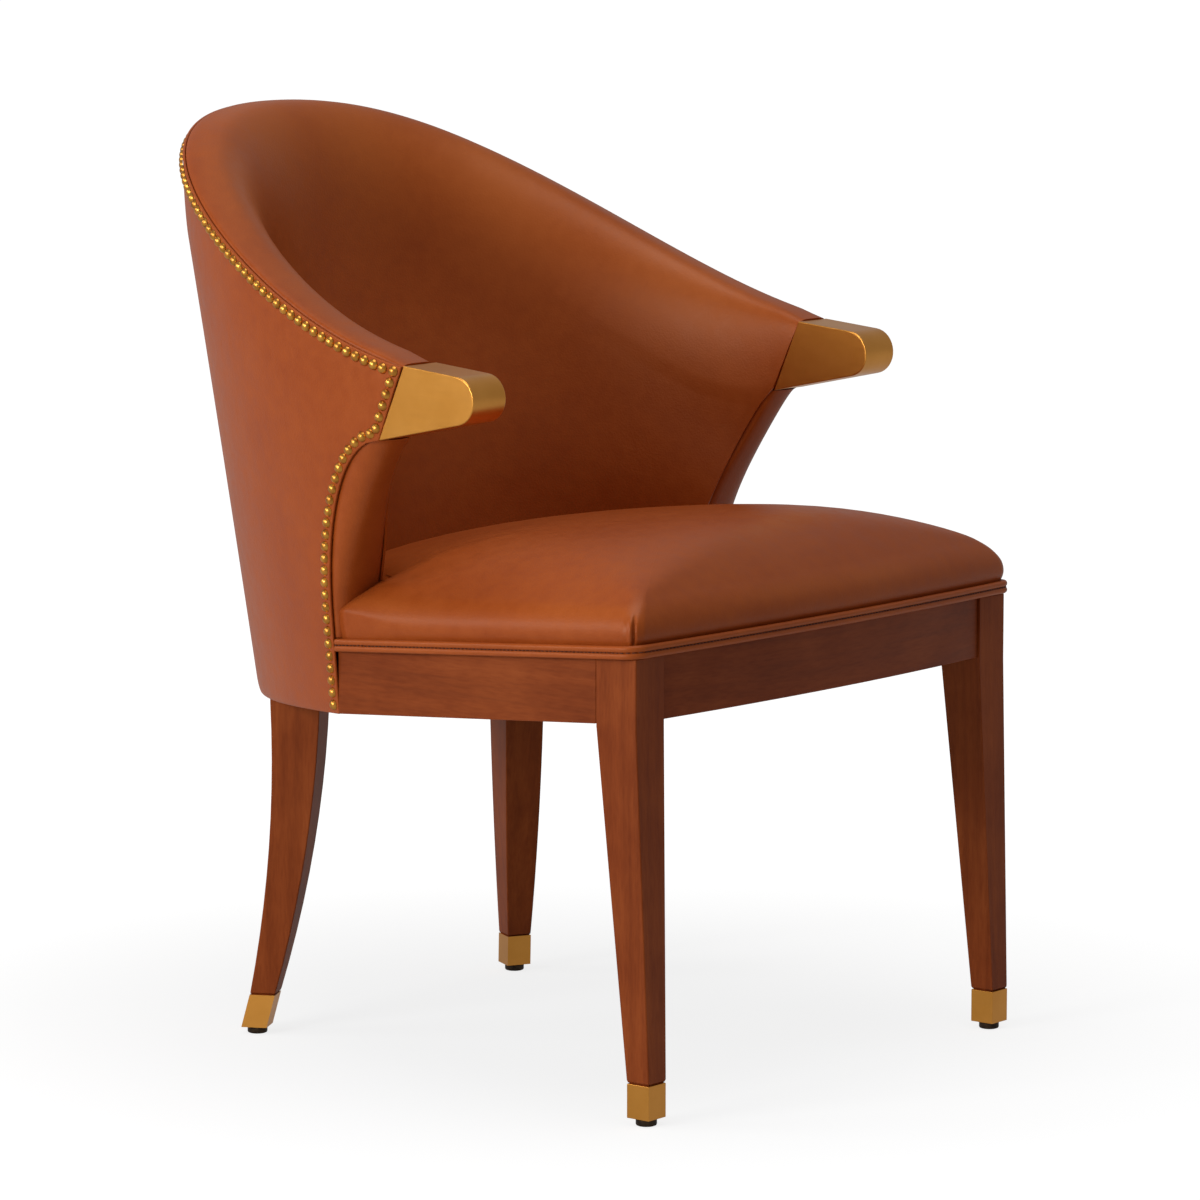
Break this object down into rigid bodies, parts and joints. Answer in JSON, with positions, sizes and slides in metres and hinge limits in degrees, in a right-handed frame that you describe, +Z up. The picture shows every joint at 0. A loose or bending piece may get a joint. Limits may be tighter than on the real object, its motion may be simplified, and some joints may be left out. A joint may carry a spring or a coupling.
{
  "type": "armchair",
  "caption": "Barrel-backed armchair: leather shell that sweeps from metal arm caps up to a high crest, with nail trim, crowned seat, double welt, tapered wooden legs and metal ferrules.",
  "frame": {"origin": "centre of the chair's bounding box on the floor, under the glides", "axes": "+X to the sitter's left, +Y towards the back, -Y is the front, +Z up"},
  "size_m": [0.6064, 0.6739, 0.831],
  "materials": {
    "leather": "satin",
    "stained_wood": "satin lacquer",
    "satin_brass": "satin",
    "aged_brass": "polished and aged",
    "dark_glide": "matt",
    "steel": "plain",
    "foam": "open foam",
    "webbing": "woven",
    "dust_cloth": "non-woven",
    "fibre_board": "raw",
    "frame_wood": "raw"
  },
  "bodies": {
    "root": {"front_leg_left": "stained_wood", "front_leg_right": "stained_wood", "rear_leg_left": "stained_wood", "rear_leg_right": "stained_wood", "front_rail": "stained_wood", "side_rail_left": "stained_wood", "side_rail_right": "stained_wood", "back_rail": "stained_wood", "corner_block_left": "frame_wood", "corner_block_right": "frame_wood", "block_screws": "steel", "rail_dowels": "frame_wood", "arm_post_left": "frame_wood", "arm_post_right": "frame_wood", "back_post_left": "frame_wood", "back_post_right": "frame_wood", "crest_rail": "frame_wood", "seat_webbing": "webbing", "seat_foam": "foam", "seat_cover": "leather", "seat_welt": "leather", "dust_cover": "dust_cloth", "back_webbing": "webbing", "back_foam": "foam", "inside_cover": "leather", "outside_board": "fibre_board", "outside_cover": "leather", "arm_facing_left": "leather", "arm_facing_right": "leather", "nails_crest": "aged_brass", "nails_left": "aged_brass", "nails_right": "aged_brass", "arm_cap_left": "satin_brass", "arm_cap_right": "satin_brass", "cap_studs": "steel", "ferrule_front_left": "satin_brass", "ferrule_front_right": "satin_brass", "ferrule_rear_left": "satin_brass", "ferrule_rear_right": "satin_brass", "insert_front_left": "steel", "insert_front_right": "steel", "insert_rear_left": "steel", "insert_rear_right": "steel"},
    "glide_front_left": {"glide_front_left": "dark_glide"},
    "glide_front_right": {"glide_front_right": "dark_glide"},
    "glide_rear_left": {"glide_rear_left": "dark_glide"},
    "glide_rear_right": {"glide_rear_right": "dark_glide"}
  },
  "joints": [
    {"name": "level_front_left", "type": "slide", "parent": "root", "child": "glide_front_left", "axis": [0, 0, -1], "range_m": [0, 0.008]},
    {"name": "level_front_right", "type": "slide", "parent": "root", "child": "glide_front_right", "axis": [0, 0, -1], "range_m": [0, 0.008]},
    {"name": "level_rear_left", "type": "slide", "parent": "root", "child": "glide_rear_left", "axis": [0, 0, -1], "range_m": [0, 0.008]},
    {"name": "level_rear_right", "type": "slide", "parent": "root", "child": "glide_rear_right", "axis": [0, 0, -1], "range_m": [0, 0.008]}
  ]
}
